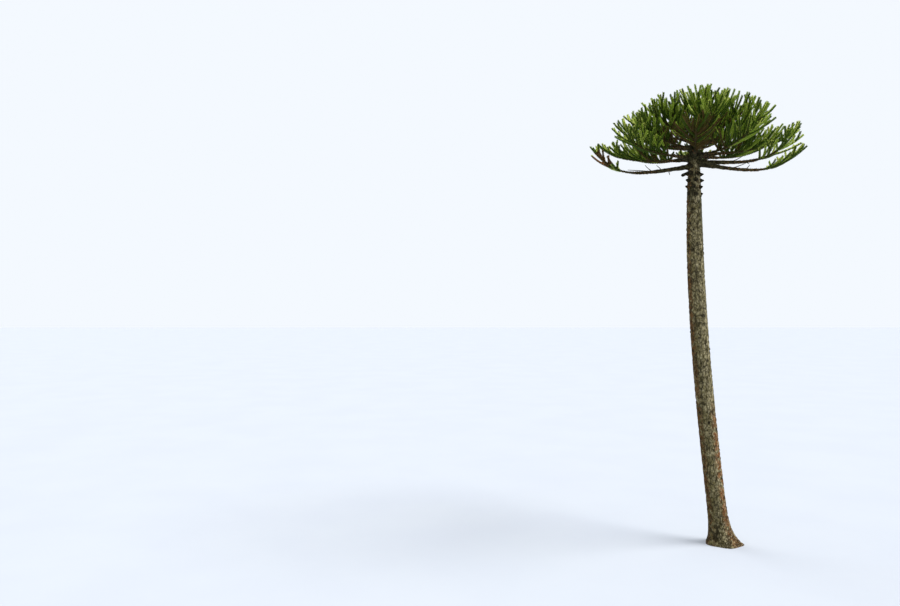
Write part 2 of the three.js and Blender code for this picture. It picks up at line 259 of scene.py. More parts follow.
def trunk_radius(height):
    """The trunk's radius without its scars, and without the lobes and the bias of its foot."""
    share = height / TRUNK_HEIGHT
    slim = STEM_RADIUS - TRUNK_TIP_RADIUS - SLOW_TAPER * share
    return TRUNK_TIP_RADIUS + slim * (1 - share**TAPER_POWER) + flare_radius(height)


def foot_centre(height):
    """The middle of the trunk at a height, which the foot's bias moves towards +X."""
    return trunk_axis(height) + np.array([flare_radius(height) * FLARE_BIAS, 0, 0])


def plan_whorls():
    """The whorls of scars from the highest down: each one's height and the angle of its first scar."""
    draw = seeded_random(SEED + WHORL_SEED_STEP)
    step = TAU / SCARS / SCAR_PLACES
    return [
        (WHORL_TOP - WHORL_STEP * k - WHORL_STEP_GROWTH * k * k, step * math.floor(draw() * SCAR_PLACES))
        for k in range(WHORLS)
    ]


def plan_stubs(whorls):
    """The pointed stubs on the scars of the highest whorls, without those that a low bough would touch."""
    draw = seeded_random(SEED)
    stubs = []
    for k, (height, first) in enumerate(whorls[:STUB_WHORLS]):
        for azimuth in evenly(SCARS, first - TAU / 4):
            length = (STUB_LENGTH - STUB_SHORTENING * k) * within(STUB_SPREAD, draw)
            rise = within(STUB_RISE, draw)
            clear = all(math.cos(low - azimuth) < math.cos(STUB_CLEARANCE) for low in TIERS[0]["azimuths"])
            if k > 0 or clear:
                stubs.append({"height": height, "azimuth": azimuth, "length": length, "rise": rise})
    return stubs


# The rule: lines, each a function from a share of the line (0 to 1) to a point


def straight(start, end):
    return lambda t: start + np.multiply.outer(t, end - start)


def bough_line(bough, start, end):
    """A bough's centreline from the trunk's axis (0) to its last shoot's tip (1), or a stretch of it."""
    along = towards(bough.azimuth, 0.0)
    aside = np.cross(UP, along)

    def line(t):
        s = start + (end - start) * np.asarray(t, float)
        rise = bough.slope * s + bough.curl * s**bough.power
        return (
            bough.root
            + np.multiply.outer(bough.reach * s, along)
            + np.multiply.outer(bough.swing * s * s, aside)
            + np.multiply.outer(rise, UP)
        )

    return line


def tangent(line, t):
    return unit(line(min(t + TANGENT_STEP, 1)) - line(max(t - TANGENT_STEP, 0)))


def line_length(line):
    points = line(np.linspace(0, 1, LINE_STEPS + 1))
    return np.linalg.norm(np.diff(points, axis=0), axis=1).sum()


def plan_bough(tier, level, i):
    """A bough: its tier's values with its own name, place and spread, and its shoots' stream of numbers."""
    draw = seeded_random(SEED + TIER_SEED_STEP * (level + 1) + BOUGH_SEED_STEP * i)
    bough = SimpleNamespace(**tier)
    bough.tier = tier["name"]
    bough.name = f"{bough.tier}_{i + 1}"
    bough.draw = draw
    bough.azimuth = tier["azimuths"][i] + within(AZIMUTH_SPREAD, draw)
    higher = HIGHER_SIDE * math.cos(bough.azimuth)
    bough.root = trunk_axis(tier["height"] + within(HEIGHT_SPREAD, draw) + higher / 2)
    bough.reach = tier["reach"] * within(REACH_SPREAD, draw)
    bough.swing = within(SWING, draw)
    bough.curl = tier["curl"] + higher / 2
    bough.radius = BOUGH_ROOT_RADIUS * math.sqrt(tier["reach"] / CROWN_RADIUS)
    return bough


# The rule: the shoots


def dome_height(run):
    return RIM_HEIGHT + (CROWN_TOP - RIM_HEIGHT) * (1 - min(run / CROWN_RADIUS, 1) ** DOME_POWER)


def run_from_trunk(point):
    axis = trunk_axis(point[2])
    return math.hypot(point[0] - axis[0], point[1] - axis[1])


def inside_crown(point):
    """Whether a point is inside the crown's own space, under the dome and within the rim."""
    run = run_from_trunk(point)
    higher = HIGHER_SIDE * (point[0] - trunk_axis(point[2])[0]) / CROWN_RADIUS
    return run < CROWN_RADIUS and point[2] < min(dome_height(run) + higher, CROWN_TOP)


class Thicket:
    """What is already grown: points, each with the limb's or shoot's radius and the number of its owner."""

    def __init__(self, radius, clearance, own_clearance, free_share, slack):
        self.radius = radius
        self.clearance = clearance
        self.own_clearance = own_clearance
        self.shares = np.arange(SAMPLES + 1) / SAMPLES
        self.near_root = self.shares <= free_share
        self.slack = slack
        self.places = np.zeros((0, 3))
        self.radii = np.zeros(0)
        self.owners = np.zeros(0, int)

    def add(self, line, radii, owner):
        self.places = np.vstack([self.places, line(self.shares)])
        self.radii = np.append(self.radii, np.broadcast_to(radii, SAMPLES + 1))
        self.owners = np.append(self.owners, np.full(SAMPLES + 1, owner))

    def clears(self, line, owner):
        """Whether a shoot keeps clear of what others own and, past its root, of what its own mass owns."""
        points = line(self.shares)
        near = np.abs(self.places - points[SAMPLES // 2]).max(axis=1) < SHOOT_LENGTH
        widths = self.radius + self.radii[near]
        own = self.owners[near] == owner
        limits = np.where(
            own, (widths * self.own_clearance) ** 2, (widths + self.clearance) ** 2 + self.slack
        )
        gaps = ((points[:, None, :] - self.places[near][None, :, :]) ** 2).sum(axis=2)
        touches = gaps < limits[None, :]
        touches[np.ix_(self.near_root, own)] = False
        return not touches.any()


class Shoot:
    """The curved line of one shoot."""

    def __init__(self, start, heading, length, lift):
        self.start = start
        self.control = start + heading * (length / 2)
        self.end = self.control + unit(heading + UP * lift) * (length / 2)

    def __call__(self, t):
        t = np.asarray(t, float)
        return (
            np.multiply.outer((1 - t) ** 2, self.start)
            + np.multiply.outer(2 * t * (1 - t), self.control)
            + np.multiply.outer(t * t, self.end)
        )


def grow_shoot(thicket, shoots, owner, start, heading, length, lift, tries=LENGTH_TRIES):
    """Tries a shoot at each length in turn, longest first, and keeps the first that fits."""
    for share in tries:
        line = Shoot(start, heading, length * share, lift)
        if not inside_crown(line(1)) or not inside_crown(line(MIDWAY)):
            continue
        if not thicket.clears(line, owner):
            continue
        shoots.append(line)
        thicket.add(line, thicket.radius, owner)
        return


def grow_mass(bough, thicket, spacing, reach, curve, draw):
    """A mass's shoots: one that carries the stem on, then side and standing pairs from tip to root."""
    shoots, stem = [], bough.stem
    heart = np.array([bough.root[0], bough.root[1], CROWN_HEART])
    pairs = max(FEWEST_PAIRS, math.floor(line_length(stem) / spacing + 0.5))

    def grow(along, heading, length, lift):
        grow_shoot(thicket, shoots, bough.owner, stem(along), heading, reach * length, lift * curve)

    grow(END_ROOT, tangent(stem, 1), END_LENGTH, END_LIFT)
    for i in reversed(range(pairs)):
        along = (i + PAIR_PLACE) / pairs
        forward = tangent(stem, along)
        sideways = unit(np.cross(UP, forward))
        outward = unit(stem(along) - heart)
        wide = WIDE_ANGLE + (NARROW_ANGLE - WIDE_ANGLE) * along
        for side in (-1, 1):
            angle = wide + within(ANGLE_SPREAD, draw)
            heading = forward * math.cos(angle) + sideways * (side * math.sin(angle))
            heading = unit(heading + outward * (bough.rise * within(SIDE_RISE, draw)))
            length = within(SIDE_LENGTH, draw)
            grow(along + STAGGER * side, heading, length, within(SIDE_LIFT, draw))
        for side in (-1, 1):
            heading = outward + UP * STANDING_RISE
            heading = unit(heading + sideways * (side * within(STANDING_LEAN, draw)))
            place = min((i + STANDING_PLACE) / pairs + STAGGER * side, LAST_ROOT)
            grow(place, heading, within(STANDING_LENGTH, draw), STANDING_LIFT)
    return shoots


def grow_leader(leader, thicket):
    """The leader's shoots, in whorls round the trunk's tip."""
    shoots, stem, owner = [], leader.stem, leader.owner
    draw = seeded_random(SEED + LEADER_SEED_STEP)
    grow_shoot(thicket, shoots, owner, stem(END_ROOT), UP, SHOOT_LENGTH * LEADER_TOP_LENGTH, 0)
    for whorl in reversed(range(LEADER_WHORLS)):
        along = (whorl + PAIR_PLACE) / LEADER_WHORLS
        for azimuth in evenly(LEADER_WHORL_SHOOTS, whorl * GOLDEN_ANGLE):
            heading = unit(towards(azimuth, LEADER_RISE + along))
            length = SHOOT_LENGTH * within(LEADER_SHOOT_LENGTH, draw)
            grow_shoot(thicket, shoots, owner, stem(along), heading, length, END_LIFT)
    return shoots


# The rule carried on: finer shoots


def around(forward, roll):
    """A direction square to forward, turned about it by roll from straight up."""
    sideways = np.cross(UP, forward)
    sideways = unit(sideways) if np.linalg.norm(sideways) > UPRIGHT_REACH else EAST
    above = np.cross(forward, sideways)
    return above * math.cos(roll) + sideways * math.sin(roll)


def grow_forks(thicket, shoots, owner, parent, draw):
    """The short upturned shoots that leave one shoot, above it and to its left and right in turn."""
    side = 1 if draw() < 0.5 else -1
    for place in FORK_PLACES:
        at = place + within(FORK_SHIFT, draw)
        forward = tangent(parent, at)
        roll = side * within(FORK_ROLL, draw)
        angle = within(FORK_ANGLE, draw)
        heading = forward * math.cos(angle) + around(forward, roll) * math.sin(angle)
        length = within(FORK_LENGTH, draw)
        lift = within(FORK_LIFT, draw)
        grow_shoot(thicket, shoots, owner, parent(at), heading, length, lift, FINE_TRIES)
        side = -side


def plant_limbs(thicket, boughs, leader_stem):
    """Puts the upper trunk, the limbs and the stems in a thicket."""
    upper_trunk = straight(trunk_axis(LEAN_HEIGHT), trunk_axis(TRUNK_HEIGHT))
    heights = LEAN_HEIGHT + thicket.shares * (TRUNK_HEIGHT - LEAN_HEIGHT)
    thicket.add(upper_trunk, trunk_radius(heights), len(boughs) + 1)
    for bough in boughs:
        thicket.add(bough_line(bough, LIMB_START, bough.bare), bough.radius, -1)
    for bough in boughs:
        thicket.add(bough.stem, BOUGH_END_RADIUS, bough.owner)
    thicket.add(leader_stem, TRUNK_TIP_RADIUS, len(boughs))


def grow_crown():
    """All masses: each with its name, tier, stem, main shoots and finer shoots."""
    boughs = []
    for level, tier in enumerate(TIERS):
        boughs += [plan_bough(tier, level, i) for i in range(len(tier["azimuths"]))]
    for owner, bough in enumerate(boughs):
        bough.owner = owner
        bough.stem = bough_line(bough, bough.bare + GAP / bough.reach, STEM_END)
    tip = trunk_axis(TRUNK_HEIGHT)
    leader = SimpleNamespace(name="leader", tier="leader", owner=len(boughs))
    leader.stem = straight(tip + UP * GAP, tip + UP * LEADER_LENGTH)
    coarse = Thicket(SHOOT_RADIUS, CLEARANCE, OWN_CLEARANCE, FREE_SHARE, (SHOOT_LENGTH / SAMPLES) ** 2 / 2)
    plant_limbs(coarse, boughs, leader.stem)
    leader.shoots = grow_leader(leader, coarse)
    for bough in reversed(boughs):
        bough.shoots = grow_mass(bough, coarse, PAIR_SPACING, SHOOT_LENGTH, 1, bough.draw)
    masses = [leader] + boughs[::-1]
    fine = Thicket(FINE_RADIUS, 0, FINE_CLEARANCE, FINE_FREE_SHARE, 0)
    plant_limbs(fine, boughs, leader.stem)
    for mass in masses:
        for shoot in mass.shoots:
            fine.add(shoot, FINE_RADIUS, mass.owner)
    for mass in masses:
        draw = seeded_random(SEED + FINE_SEED_STEP + mass.owner)
        mass.fine_shoots = []
        for shoot in mass.shoots:
            grow_forks(fine, mass.fine_shoots, mass.owner, shoot, draw)
        if mass is not leader:
            mass.fine_shoots += grow_mass(mass, fine, FINE_SPACING, FINE_LENGTH, FINE_CURVE, draw)
    return boughs, masses


# Meshes made from arrays: many small things joined


def joined_piece(name, parts, material):
    """One piece from many (vertices, faces) parts, whose faces count from their own first vertex."""
    vertices, faces, first = [], [], 0
    for part_vertices, part_faces in parts:
        vertices.append(part_vertices)
        faces.extend((part_faces + first).tolist())
        first += len(part_vertices)
    mesh = bpy.data.meshes.new(name)
    mesh.from_pydata(np.vstack(vertices), [], faces)
    mesh.materials.append(material)
    piece = bpy.data.objects.new(name, mesh)
    bpy.context.scene.collection.objects.link(piece)
    return piece


def frames_along(line, shares):
    """Points on a line with the forward, out and aside directions there; out and aside don't twist."""
    points = line(shares)
    forwards = line(np.minimum(shares + FRAME_STEP, 1)) - line(np.maximum(shares - FRAME_STEP, 0))
    forwards /= np.linalg.norm(forwards, axis=1)[:, None]
    reference = UP if abs(forwards[0][2]) < UPRIGHT_RISE else EAST
    asides = np.cross(forwards, reference)
    asides /= np.linalg.norm(asides, axis=1)[:, None]
    outs = np.cross(asides, forwards)
    return points, forwards, outs, asides


def turned(angles, outs, asides):
    """Directions turned by an angle each from out towards aside."""
    return np.cos(angles)[..., None] * outs + np.sin(angles)[..., None] * asides


def tube(line, rings, sides, radii):
    """A closed tapering tube along a line, with its last ring drawn in to a point."""
    shares = np.linspace(0, 1, rings + 1)
    points, forwards, outs, asides = frames_along(line, shares)
    ring = turned(np.arange(sides) * TAU / sides, outs[:, None, :], asides[:, None, :])
    vertices = points[:, None, :] + ring * np.asarray(radii)[:, None, None]
    tip = points[-1] + forwards[-1] * radii[-1]
    vertices = np.vstack([vertices.reshape(-1, 3), points[:1], tip[None, :]])
    here = np.arange(rings)[:, None] * sides + np.arange(sides)[None, :]
    beside = np.arange(rings)[:, None] * sides + (np.arange(sides)[None, :] + 1) % sides
    lower = np.stack([here, beside, beside + sides], axis=-1).reshape(-1, 3)
    upper = np.stack([here, beside + sides, here + sides], axis=-1).reshape(-1, 3)
    root, end = rings * sides + sides, rings * sides + sides + 1
    first, last = np.arange(sides), rings * sides + np.arange(sides)
    start_cap = np.stack([np.full(sides, root), np.roll(first, -1), first], axis=-1)
    end_cap = np.stack([np.full(sides, end), last, np.roll(last, -1)], axis=-1)
    return vertices, np.vstack([lower, upper, start_cap, end_cap])


def leaves(bases, directions, asides, lengths, widths):
    """Scale leaves, each of four faces: pointed, widest near the base, keeled, and hooked in at the tip."""
    outs = np.cross(asides, directions)
    length, width = lengths[:, None], widths[:, None]
    across = asides * width / 2
    shoulder = bases + directions * length * LEAF_WIDEST
    keel = bases + directions * length * LEAF_KEEL_PLACE + outs * width * LEAF_KEEL
    tip = bases + directions * length - outs * length * LEAF_HOOK
    vertices = np.stack([bases, shoulder + across, shoulder - across, keel, tip], axis=1).reshape(-1, 3)
    faces = np.array([[0, 1, 3], [0, 3, 2], [1, 4, 3], [3, 4, 2]])
    firsts = np.arange(len(bases)) * 5
    return vertices, (faces[None, :, :] + firsts[:, None, None]).reshape(-1, 3)


def spray(line, rng, core, per_metre=LEAVES_PER_METRE, size=1.0):
    """A shoot's leaves, in a spiral up its core and closer to it at its tip, and which of them face down."""
    count = max(FEWEST_LEAVES, int(line_length(line) * per_metre))
    shares = (np.arange(count) + 0.5) / count
    points, forwards, outs, asides = frames_along(line, shares)
    turn = np.arange(count) * GOLDEN_ANGLE + rng.uniform(0, TAU)
    radial = turned(turn, outs, asides)
    tilt = LEAF_TILT[0] + (LEAF_TILT[1] - LEAF_TILT[0]) * shares + rng.normal(0, LEAF_JITTER, count)
    directions = turned(tilt, forwards, radial)
    lengths = LEAF_LENGTH * size * rng.uniform(*LEAF_LENGTH_SPREAD, count) * (1 - LEAF_SHRINK * shares**6)
    widths = LEAF_WIDTH * size * rng.uniform(*LEAF_WIDTH_SPREAD, count)
    below = radial[:, 2] < UNDERSIDE
    return (points + radial * core, directions, np.cross(forwards, radial), lengths, widths), below


# Pieces modelled from primitives


def edit(piece):
    bpy.context.view_layer.objects.active = piece
    piece.select_set(True)
    bpy.ops.object.mode_set(mode="EDIT")


def leave_edit():
    bpy.ops.object.mode_set(mode="OBJECT")


def select_verts(piece, wanted):
    """Selects only the vertices of a piece in edit mode whose places pass a test."""
    bpy.ops.mesh.select_all(action="DESELECT")
    leave_edit()
    for vertex in piece.data.vertices:
        vertex.select = wanted(piece.matrix_world @ vertex.co)
    bpy.ops.object.mode_set(mode="EDIT")


def close_end(piece, wanted):
    """Closes an open end, the boundary whose vertices pass a test, with one face."""
    select_verts(piece, wanted)
    bpy.ops.mesh.edge_face_add()


def face_outwards():
    bpy.ops.mesh.select_all(action="SELECT")
    bpy.ops.mesh.normals_make_consistent(inside=False)


def settle(piece):
    """Applies a piece's place, so that its object is at the origin, and lets go of it."""
    bpy.context.view_layer.objects.active = piece
    bpy.ops.object.transform_apply(location=True, rotation=True, scale=True)
    bpy.ops.object.select_all(action="DESELECT")


def apply_modifier(piece, kind, **values):
    bpy.context.view_layer.objects.active = piece
    modifier = piece.modifiers.new(kind.lower(), kind)
    for key, value in values.items():
        setattr(modifier, key, value)
    bpy.ops.object.modifier_apply(modifier=modifier.name)


def roughen(piece, textures):
    """Displaces a piece by each texture in turn."""
    for texture, depth in textures:
        apply_modifier(
            piece, "DISPLACE", texture=texture, texture_coords="LOCAL", strength=depth, mid_level=0.5
        )


def weigh(piece, name, weights, strength):
    """Raises a piece's surface by weights of 0 to 1 times a strength, which is negative to press it in."""
    group = piece.vertex_groups.new(name=name)
    for i in np.flatnonzero(weights > LEAST_WEIGHT).tolist():
        group.add([i], float(weights[i]), "REPLACE")
    apply_modifier(piece, "DISPLACE", vertex_group=name, strength=strength, mid_level=0)


def note(piece, name, values):
    """An attribute that the piece's material reads."""
    attribute = piece.data.attributes.new(name, "FLOAT", "POINT")
    attribute.data.foreach_set("value", np.asarray(values, np.float32))


def dress(piece, material, sharpest):
    """Gives a piece its material, and smooth shading but for edges with a sharper angle, in degrees."""
    bpy.context.view_layer.objects.active = piece
    piece.select_set(True)
    bpy.ops.object.shade_smooth_by_angle(angle=math.radians(sharpest))
    bpy.ops.object.select_all(action="DESELECT")
    piece.data.materials.append(material)
    return piece


def extrude_along(centres, radii, sides, rotation):
    """A ring of the first radius, extruded from centre to centre and resized at each."""
    bpy.ops.mesh.primitive_circle_add(
        vertices=sides, radius=radii[0], location=tuple(centres[0]), rotation=rotation
    )
    piece = bpy.context.object
    bpy.ops.object.mode_set(mode="EDIT")
    bpy.ops.mesh.select_mode(type="VERT")
    for i in range(1, len(centres)):
        step = tuple(centres[i] - centres[i - 1])
        ratio = radii[i] / radii[i - 1]
        bpy.ops.mesh.extrude_region_move(TRANSFORM_OT_translate={"value": step})
        bpy.ops.transform.resize(value=(ratio, ratio, ratio), center_override=tuple(centres[i]))
    return piece


def close_stick(piece, name):
    """Closes both ends of a piece that is still in edit mode, turns its faces outwards and settles it."""
    bpy.ops.mesh.edge_face_add()
    bpy.ops.mesh.select_all(action="DESELECT")
    bpy.ops.mesh.select_non_manifold(extend=False)
    bpy.ops.mesh.edge_face_add()
    face_outwards()
    leave_edit()
    piece.name = piece.data.name = name
    settle(piece)


# The trunk's mesh and relief
TRUNK_SIDES = 20
TRUNK_RINGS = 76
LOBED_HEIGHT = 0.9
CAGE_SWELL = 1.015
RING_CROWDING = 1.2
PLATE_WIDTH = 0.085
PLATE_STRETCH = 0.5
PLATE_WARP = 0.4
PLATE_DEPTH = 0.011
PLATE_SHUFFLE = 9.7
LOWEST_PLATE = 0.4
FOOT_PLATES = 6
CRACK_WIDTH = 0.2
SCAR_TURN = (-0.12, 0.12)
SCAR_SHIFT = (-0.03, 0.03)
SCAR_SIZE = (0.045, 0.085)
SCAR_BREADTH = 1.2
SCAR_STRENGTH = (-0.1, 1.1)
PIT_DEPTH = 0.012
PIT_EDGE = (0.3, 0.9)
LIP_WIDTH = 0.4
SWELL_WIDTH = 0.05
GROUND_FADE = 0.06
FAR_FROM_SCARS = 9.0
LEAST_RELIEF = 0.25
LEAST_WEIGHT = 0.001
RING_TOLERANCE = 0.001
LOBE_TOLERANCE = 0.1
END_TOLERANCE = 0.0005


def smoothstep(values, low, high):
    share = np.clip((values - low) / (high - low), 0, 1)
    return share * share * (3 - 2 * share)


def bark_plates(places):
    """For points on the bark, how far each is from a crack between plates, and a number for its plate."""
    crack, plate = np.empty(len(places)), np.empty(len(places))
    # Without a seed, the warp is another one in every run
    noise.seed_set(SEED)
    for i, (x, y, z) in enumerate(places.tolist()):
        spot = Vector((x, y, z * PLATE_STRETCH)) / PLATE_WIDTH
        distances, centres = noise.voronoi(spot + PLATE_WARP * noise.noise_vector(spot))
        crack[i] = distances[1] - distances[0]
        plate[i] = noise.cell(centres[0] * PLATE_SHUFFLE)
    return smoothstep(crack, 0, CRACK_WIDTH), plate % 1


def find_scars(turn, height, radius, whorls, draw):
    """How far each point of the bark is from the nearest scar, in that scar's sizes, and its strength."""
    best, strength = np.full(len(turn), FAR_FROM_SCARS), np.zeros(len(turn))
    for whorl_height, first in whorls:
        for scar in evenly(SCARS, first):
            scar_turn = scar + within(SCAR_TURN, draw)
            scar_height = whorl_height + within(SCAR_SHIFT, draw)
            size = within(SCAR_SIZE, draw)
            apart = (turn - scar_turn + math.pi) % TAU - math.pi
            gap = np.hypot(apart * radius * SCAR_BREADTH, height - scar_height) / size
            strength[gap < best] = np.clip(within(SCAR_STRENGTH, draw), 0, 1)
            best = np.minimum(best, gap)
    return best, strength


def press_lobes(piece, heights, centres):
    """Pushes the foot's rings out and in, so that its lobes stand out from the hollows between them."""
    for height, centre in zip(heights, centres):
        if height > LOBED_HEIGHT:
            return
        mean = trunk_radius(height)
        for phase in range(TRUNK_SIDES // FLARE_LOBES):
            crest = phase * FLARE_LOBES * TAU / TRUNK_SIDES
            ratio = 1 + flare_radius(height) * LOBE_DEPTH * math.cos(crest) / mean

            def in_phase(place):
                turn = math.atan2(place.y - centre[1], place.x - centre[0]) + TAU / 4
                apart = (turn * FLARE_LOBES - crest + math.pi) % TAU - math.pi
                return abs(place.z - height) < RING_TOLERANCE and abs(apart) < LOBE_TOLERANCE

            select_verts(piece, in_phase)
            bpy.ops.transform.resize(value=(ratio, ratio, 1), center_override=tuple(centre))


def raise_bark(piece, whorls):
    """Raises plates and scars on the trunk, and notes where they are for its material."""
    places = np.empty(len(piece.data.vertices) * 3)
    piece.data.vertices.foreach_get("co", places)
    places = places.reshape(-1, 3)
    height = np.clip(places[:, 2], 0, TRUNK_HEIGHT)
    axis = np.array([foot_centre(value) for value in height])
    turn = np.arctan2(places[:, 1] - axis[:, 1], places[:, 0] - axis[:, 0]) + TAU / 4
    radius = trunk_radius(height)
    slim = np.clip(radius / STEM_RADIUS, LEAST_RELIEF, 1)
    crack, plate = bark_plates(places)
    scar, depth = find_scars(turn, height, radius, whorls, seeded_random(SEED))
    pit = (1 - smoothstep(scar, *PIT_EDGE)) * depth
    lip = np.exp(-(((scar - 1) / LIP_WIDTH) ** 2))
    nearest = np.abs(height[:, None] - np.array([whorl_height for whorl_height, _ in whorls])).min(axis=1)
    swell = np.exp(-((nearest / SWELL_WIDTH) ** 2))
    plates = crack * (LOWEST_PLATE + (1 - LOWEST_PLATE) * plate) * (1 - pit)
    plates = plates * (1 + FOOT_PLATES * flare_radius(height))
    reliefs = [
        ("plates", plates, PLATE_DEPTH),
        ("lips", lip, SCAR_RISE),
        ("pits", pit, -PIT_DEPTH),
        ("swells", swell, WHORL_SWELL),
    ]
    for name, weights, strength in reliefs:
        weigh(piece, name, weights * slim * smoothstep(height, 0, GROUND_FADE), strength)
    notes = {"crack": crack, "plate": plate, "pit": pit, "side": np.sin(turn), "height": height}
    for name, values in notes.items():
        note(piece, name, values)


def build_trunk(whorls, material):
    """The trunk: a ring extruded up its leaning axis, with the foot's lobes, smoothed and given its bark."""
    shares = np.linspace(0, 1, TRUNK_RINGS + 1) ** RING_CROWDING
    heights = TRUNK_HEIGHT * shares
    centres = np.array([foot_centre(height) for height in heights])
    radii = trunk_radius(heights) * CAGE_SWELL - PLATE_DEPTH / 2
    piece = extrude_along(centres, radii, TRUNK_SIDES, (0, 0, 0))
    press_lobes(piece, heights, centres)
    leave_edit()
    piece.name = piece.data.name = "bark_trunk"
    settle(piece)
    apply_modifier(piece, "SUBSURF", levels=3, render_levels=3)
    raise_bark(piece, whorls)
    edit(piece)
    bpy.ops.mesh.select_mode(type="VERT")
    close_end(piece, lambda place: place.z < END_TOLERANCE)
    bpy.ops.transform.resize(value=(1, 1, 0), center_override=(0, 0, 0))
    close_end(piece, lambda place: place.z > TRUNK_HEIGHT - END_TOLERANCE)
    face_outwards()
    leave_edit()
    return dress(piece, material, sharpest=60)


# The limbs' and the stubs' mesh and relief
LIMB_SIDES = 10
LIMB_RING_STEP = 0.045
LIMB_SINK = 0.05
LIMB_OVERLAP = 0.02
LIMB_COLLAR = 0.7
LIMB_COLLAR_REACH = 0.09
LIMB_KNOBS = (1.05, 1.4)
STUB_SIDES = 7
STUB_PROFILE = [(0, 1.25), (0.4, 0.95), (0.55, 0.8), (0.75, 0.5), (0.92, 0.26), (1, 0.12)]
LONG_STUB_PROFILE = [(0, 1.5), (0.3, 1.4), (0.6, 1.25), (0.85, 1.5), (0.96, 1.35), (1, 0.8)]
STUB_BEND = (-0.012, 0.03)


def build_limb(bough, textures, material):
    """One knobby bough from inside the trunk's bark to its foliage, with a collar at the trunk."""
    first = (trunk_radius(bough.root[2]) - LIMB_SINK) / bough.reach
    line = bough_line(bough, first, bough.bare + LIMB_OVERLAP)
    run = (bough.bare - first) * bough.reach
    shares = np.linspace(0, 1, math.ceil(run / LIMB_RING_STEP) + 1)
    radii = bough.radius + (BOUGH_END_RADIUS - bough.radius) * shares
    radii = radii * (1 + LIMB_COLLAR * np.exp(-((shares * run / LIMB_COLLAR_REACH) ** 2)))
    draw = seeded_random(SEED + bough.owner)
    radii = radii * [within(LIMB_KNOBS, draw) for _ in shares]
    piece = extrude_along(line(shares), radii, LIMB_SIDES, (0, math.pi / 2, bough.azimuth))
    close_stick(piece, f"limb_{bough.name}")
    apply_modifier(piece, "SUBSURF", levels=1, render_levels=1)
    roughen(piece, textures)
    return dress(piece, material, sharpest=180)


def relief_texture(name, kind, scale):
    texture = bpy.data.textures.new(name, kind)
    texture.noise_scale = scale
    return texture


def build_stub(stub, radius, profile, draw):
    """A dead stub: rings of the profile's shares of a radius, extruded along a slightly bent line."""
    outward = unit(towards(stub["azimuth"], stub["rise"]))
    root = trunk_axis(stub["height"]) + outward * (trunk_radius(stub["height"]) - STUB_SINK)
    shares = np.array([at for at, _ in profile])
    bend = np.outer(shares**2, UP * within(STUB_BEND, draw))
    centres = root + np.outer(shares, outward) * (STUB_SINK + stub["length"]) + bend
    radii = radius * np.array([share for _, share in profile])
    rotation = Vector(outward).to_track_quat("Z", "Y").to_euler()
    piece = extrude_along(centres, radii, STUB_SIDES, tuple(rotation))
    close_stick(piece, "dead_stubs")
    return piece


def build_stubs(whorls, textures, material):
    """All dead stubs, joined: the pointed ones and the long blunt one."""
    draw = seeded_random(SEED + 1)
    stubs = [build_stub(stub, STUB_RADIUS, STUB_PROFILE, draw) for stub in plan_stubs(whorls)]
    stubs.append(build_stub(LONG_STUB, LONG_STUB_RADIUS, LONG_STUB_PROFILE, draw))
    for stub in stubs:
        stub.select_set(True)
    bpy.context.view_layer.objects.active = stubs[0]
    bpy.ops.object.join()
    piece = stubs[0]
    piece.name = piece.data.name = "dead_stubs"
    apply_modifier(piece, "SUBSURF", levels=2, render_levels=2)
    roughen(piece, textures)
    return dress(piece, material, sharpest=50)


# Materials


def paint(red, green, blue):
    """A colour of 0 to 255 as the shader takes it."""
    return tuple(((value / 255 + 0.055) / 1.055) ** 2.4 for value in (red, green, blue)) + (1.0,)


def add_node(tree, kind, inputs=None, **settings):
    """The outputs of a new shader node. Its inputs are numbers, colours or the outputs of other nodes."""
    node = tree.nodes.new(f"ShaderNode{kind}")
    for key, value in settings.items():
        setattr(node, key, value)
    for name, value in (inputs or {}).items():
        if isinstance(value, bpy.types.NodeSocket):
            tree.links.new(value, node.inputs[name])
        else:
            node.inputs[name].default_value = value
    return node.outputs


def fade(tree, value, low, high, start=0.0, end=1.0):
    """A mask that goes softly from start to end while a value goes from low to high."""
    inputs = {"Value": value, "From Min": low, "From Max": high, "To Min": start, "To Max": end}
    return add_node(tree, "MapRange", inputs, interpolation_type="SMOOTHSTEP")["Result"]


def drawn_place(tree, stretch):
    """The place on the piece, with each direction drawn out or pressed together."""
    factors = {0: add_node(tree, "TexCoord")["Object"], 1: stretch}
    return add_node(tree, "VectorMath", factors, operation="MULTIPLY")["Vector"]


# The kinds of socket that hold one number, three or four
SOCKETS = {1: "NodeSocketFloat", 3: "NodeSocketVector", 4: "NodeSocketColor"}


def node_group(name, inputs, build):
    """A shader group whose inputs hold the given values, and whose outputs are what build makes of them."""
    group = bpy.data.node_groups.new(name, "ShaderNodeTree")
    for label, value in inputs.items():
        socket = group.interface.new_socket(label, in_out="INPUT", socket_type=SOCKETS[np.size(value)])
        socket.default_value = value
    outputs = build(group, group.nodes.new("NodeGroupInput").outputs)
    for label in outputs:
        kind = SOCKETS[4 if label == "Colour" else 1]
        group.interface.new_socket(label, in_out="OUTPUT", socket_type=kind)
    result = group.nodes.new("NodeGroupOutput").inputs
    for label, source in outputs.items():
        group.links.new(source, result[label])
    return group


def mottle(tree, given):
    """Two colours mixed in soft patches of a given scale, which may be drawn out upwards."""
    place = drawn_place(tree, given["Stretch"])
    patches = add_node(tree, "TexNoise", {"Vector": place, "Scale": given["Scale"], "Detail": 4})["Fac"]
    mask = fade(tree, patches, given["Low"], given["High"])
    colours = {"Factor": mask, "A": given["Colour A"], "B": given["Colour B"]}
    return {"Colour": add_node(tree, "Mix", colours, data_type="RGBA")["Result"], "Mask": mask}


